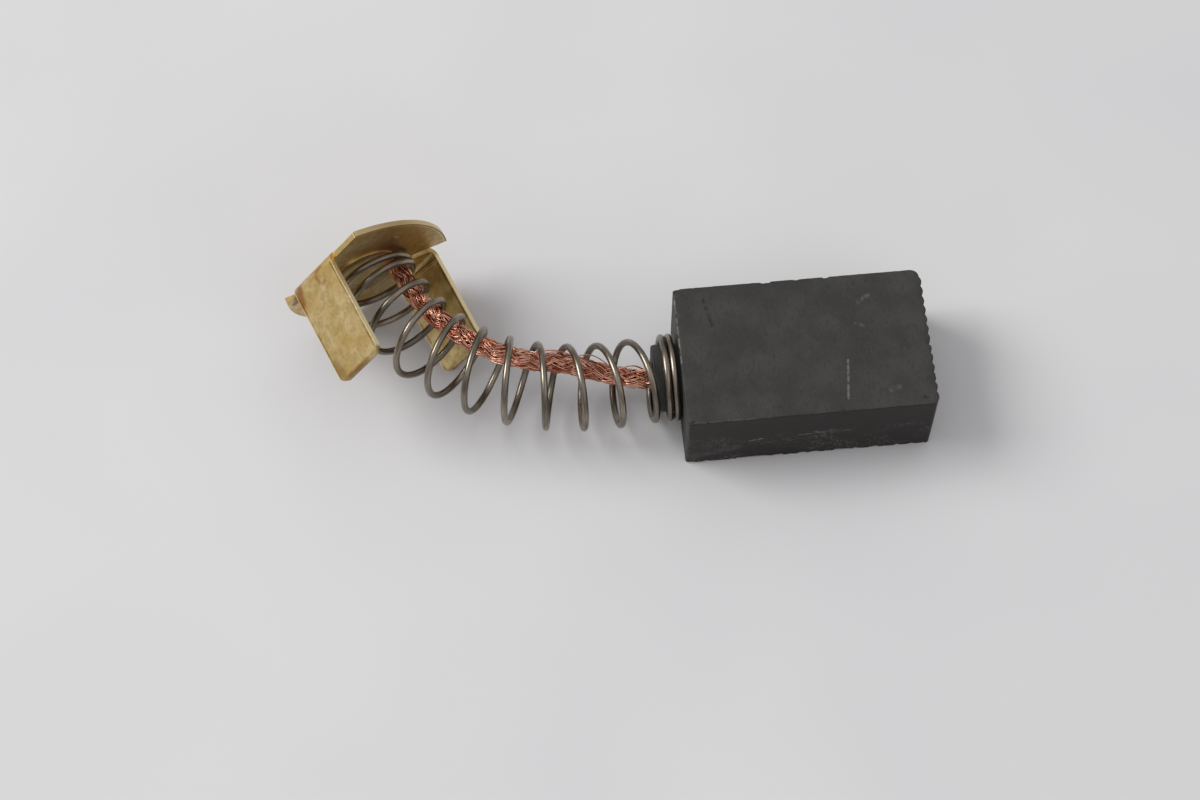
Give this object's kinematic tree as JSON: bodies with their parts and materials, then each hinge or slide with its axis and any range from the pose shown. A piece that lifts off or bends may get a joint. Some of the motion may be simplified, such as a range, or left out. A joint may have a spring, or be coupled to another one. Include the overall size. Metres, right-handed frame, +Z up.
{
  "type": "carbon brush",
  "caption": "Carbon brush with a boss, coil spring, braided copper shunt and a folded brass terminal with half-moon ears.",
  "frame": {"origin": "centre of the carbon block's lower guide face", "axes": "+X along the block towards its wear face, +Z up out of the lower guide face"},
  "size_m": [0.0468, 0.0179, 0.0133],
  "materials": {
    "carbon": "dry electrographite, ground faces with chipped edges",
    "copper_powder": "tamped copper powder",
    "spring_steel": "drawn spring wire, lightly oiled",
    "copper_braid": "bare braided copper strands",
    "sheet_brass": "rolled sheet brass, slightly tarnished",
    "solder": "dull tin solder"
  },
  "bodies": {
    "brush": {"carbon_block": "carbon", "tamped_plug": "copper_powder", "compression_spring": "spring_steel", "shunt": "copper_braid"},
    "terminal": {"terminal": "sheet_brass", "solder_joint": "solder"}
  },
  "joints": [
    {"name": "spring_travel", "type": "slide", "parent": "brush", "child": "terminal", "axis": [1, 0, 0], "range_m": [0, 0.008], "stiffness_N_per_m": 300, "deforming": ["compression_spring", "shunt"]}
  ]
}
